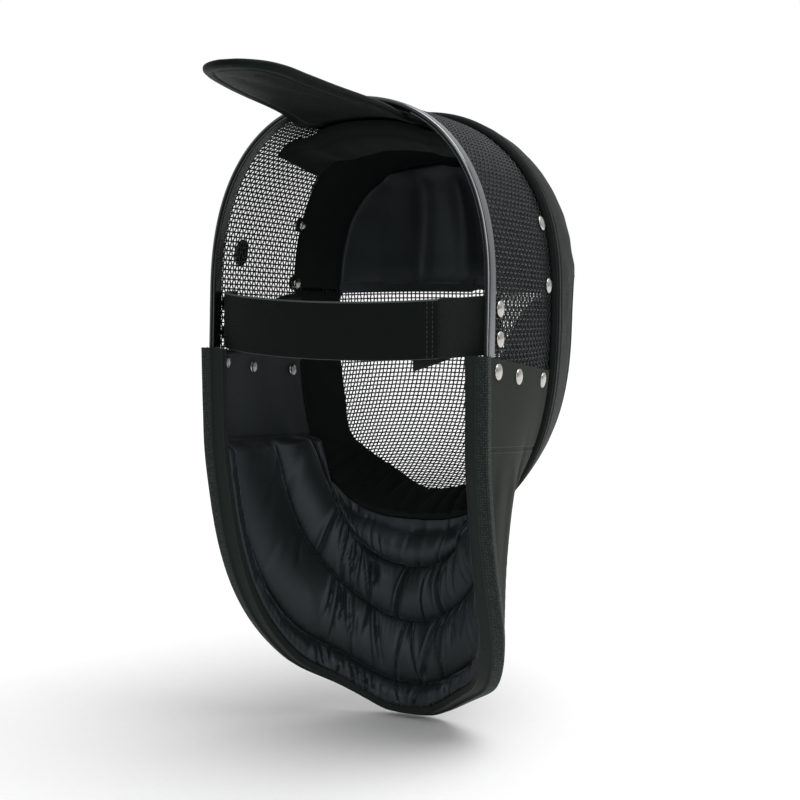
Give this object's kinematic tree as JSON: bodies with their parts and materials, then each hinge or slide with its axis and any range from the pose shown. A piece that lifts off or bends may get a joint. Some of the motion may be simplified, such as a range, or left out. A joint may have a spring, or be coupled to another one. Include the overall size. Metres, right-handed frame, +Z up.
{
  "type": "fencing coaching mask",
  "caption": "Wire-mesh sports mask with a padded front, back strap, raised spring tongue and a long quilted throat bib.",
  "frame": {"origin": "the seat of the head: the middle of the crown pad's underside", "axes": "+Z up; the face looks along -Y; +X is the wearer's left"},
  "size_m": [0.2084, 0.3741, 0.4314],
  "materials": {
    "wire_mesh": "woven black enamelled steel wire, satin sheen",
    "rim_steel": "thin folded steel edging, dark, with a soft highlight along its fold",
    "leather": "fine-grained black leather, semi-matt",
    "satin": "black satin lining, soft sheen along its folds",
    "heavy_cloth": "thick woven black outer fabric, matt",
    "border_cloth": "wide textured black binding, matt",
    "elastic": "wide woven black elastic, matt, ribbed lengthways",
    "strap_cloth": "short looped black textile, matt",
    "nickel": "nickel-plated, polished, slightly worn",
    "patch": "plain black oval patch, matt"
  },
  "bodies": {
    "root": {"mesh_shell": "wire_mesh", "rim_trim": "rim_steel", "front_cover": "leather", "tongue": "leather", "crown_pad": "satin", "brow_pad": "satin", "temple_pad_left": "satin", "temple_pad_right": "satin", "chin_pad": "satin", "bib_lining": "satin", "bib_outer": "heavy_cloth", "bib_border": "border_cloth", "back_strap": "elastic", "strap_anchor": "strap_cloth", "strap_tail": "strap_cloth", "side_patch": "patch", "bib_rivet_rear_left": "nickel", "bib_rivet_rear_right": "nickel", "bib_rivet_middle_left": "nickel", "bib_rivet_middle_right": "nickel", "bib_rivet_front_left": "nickel", "bib_rivet_front_right": "nickel", "strap_rivet_upper_left": "nickel", "strap_rivet_upper_right": "nickel", "strap_rivet_lower_left": "nickel", "strap_rivet_lower_right": "nickel", "cover_rivet_upper_left": "nickel", "cover_rivet_upper_right": "nickel", "cover_rivet_lower_left": "nickel", "cover_rivet_lower_right": "nickel"}
  },
  "joints": []
}
